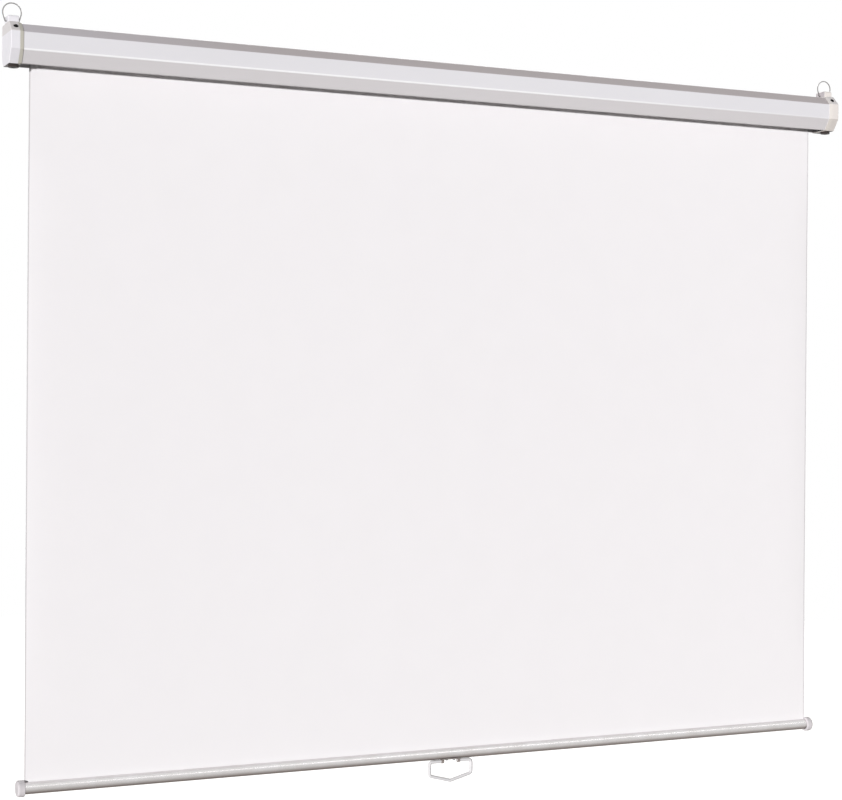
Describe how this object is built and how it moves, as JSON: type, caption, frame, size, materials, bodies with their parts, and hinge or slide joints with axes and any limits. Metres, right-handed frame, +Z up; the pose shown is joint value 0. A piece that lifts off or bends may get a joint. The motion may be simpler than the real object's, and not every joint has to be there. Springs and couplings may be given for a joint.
{
  "type": "pull down projector screen",
  "caption": "Wall-hung spring-roller projection screen, pulled down: slotted sheet-metal case with moulded end caps and hang rings, matt white sheet, round bottom bar with a pull handle.",
  "frame": {"origin": "middle of the case's flat back face, which lies against the wall", "axes": "+Z up; +X to the right of someone who looks at the screen; +Y into the wall, so the screen faces -Y"},
  "size_m": [1.8054, 0.072, 1.4582],
  "materials": {
    "case_paint": "satin white paint on sheet metal",
    "cap_plastic": "moulded, fine matt, warm white",
    "black_screw": "black oxide",
    "plated_steel": "zinc plated",
    "bright_wire": "bright plated wire",
    "screen_vinyl": "matt white projection surface",
    "bar_metal": "smooth, bright, lightly glossy",
    "bar_cap_plastic": "light grey, moulded",
    "white_plastic": "smooth white, moulded",
    "nylon": "natural nylon",
    "spring_steel": "oiled spring wire",
    "dark_steel": "sintered or hardened steel"
  },
  "bodies": {
    "case": {"case_shell": "case_paint", "end_cap_left": "cap_plastic", "end_cap_right": "cap_plastic", "end_plate_left": "plated_steel", "end_plate_right": "plated_steel", "cap_screw_top_left": "black_screw", "cap_screw_bottom_left": "black_screw", "cap_screw_top_right": "black_screw", "cap_screw_bottom_right": "black_screw", "screen_fabric": "screen_vinyl", "spring_spindle": "dark_steel", "spring_anchor": "nylon", "anchor_pin": "plated_steel", "ratchet_collar": "dark_steel", "gudgeon_bush": "nylon"},
    "roller": {"roller_tube": "plated_steel", "fabric_roll": "screen_vinyl", "drive_plug": "nylon", "idler_plug": "nylon", "gudgeon_pin": "plated_steel", "torsion_spring": "spring_steel", "pawl_pin_a": "plated_steel", "pawl_pin_b": "plated_steel"},
    "pawl_a_body": {"pawl_a": "dark_steel"},
    "pawl_b_body": {"pawl_b": "dark_steel"},
    "bottom_bar": {"bottom_tube": "bar_metal", "hem_rod": "nylon", "bar_cap_left": "bar_cap_plastic", "bar_cap_right": "bar_cap_plastic", "handle_saddle": "bar_cap_plastic", "saddle_screw_left": "plated_steel", "saddle_screw_right": "plated_steel"},
    "handle": {"pull_handle": "white_plastic"},
    "ring_left": {"hang_ring_left": "bright_wire"},
    "ring_right": {"hang_ring_right": "bright_wire"}
  },
  "joints": [
    {"name": "screen_drop", "type": "slide", "parent": "case", "child": "bottom_bar", "axis": [0, 0, 1], "range_m": [0, 1.2566], "deforming": ["screen_fabric"]},
    {"name": "roller_spin", "type": "hinge", "parent": "case", "child": "roller", "pos_m": [0, -0.0355, 0], "axis": [1, 0, 0], "range_deg": [0, 3600], "deforming": ["torsion_spring"]},
    {"name": "pawl_a_swing", "type": "hinge", "parent": "roller", "child": "pawl_a_body", "pos_m": [-0.88285, -0.02682, 0.01034], "axis": [1, 0, 0], "range_deg": [0, 15]},
    {"name": "pawl_b_swing", "type": "hinge", "parent": "roller", "child": "pawl_b_body", "pos_m": [-0.88285, -0.04418, -0.01034], "axis": [1, 0, 0], "range_deg": [0, 15]},
    {"name": "handle_swing", "type": "hinge", "parent": "bottom_bar", "child": "handle", "pos_m": [0, -0.0155, -1.3409], "axis": [1, 0, 0], "range_deg": [-95, 95]},
    {"name": "ring_left_swing", "type": "hinge", "parent": "case", "child": "ring_left", "pos_m": [-0.88495, -0.033, 0.0413], "axis": [1, 0, 0], "range_deg": [-74, 96]},
    {"name": "ring_right_swing", "type": "hinge", "parent": "case", "child": "ring_right", "pos_m": [0.88495, -0.033, 0.0413], "axis": [1, 0, 0], "range_deg": [-74, 96]}
  ],
  "couplings": [
    {"joint": "roller_spin", "follows": "screen_drop", "rad_per_m": 50}
  ]
}
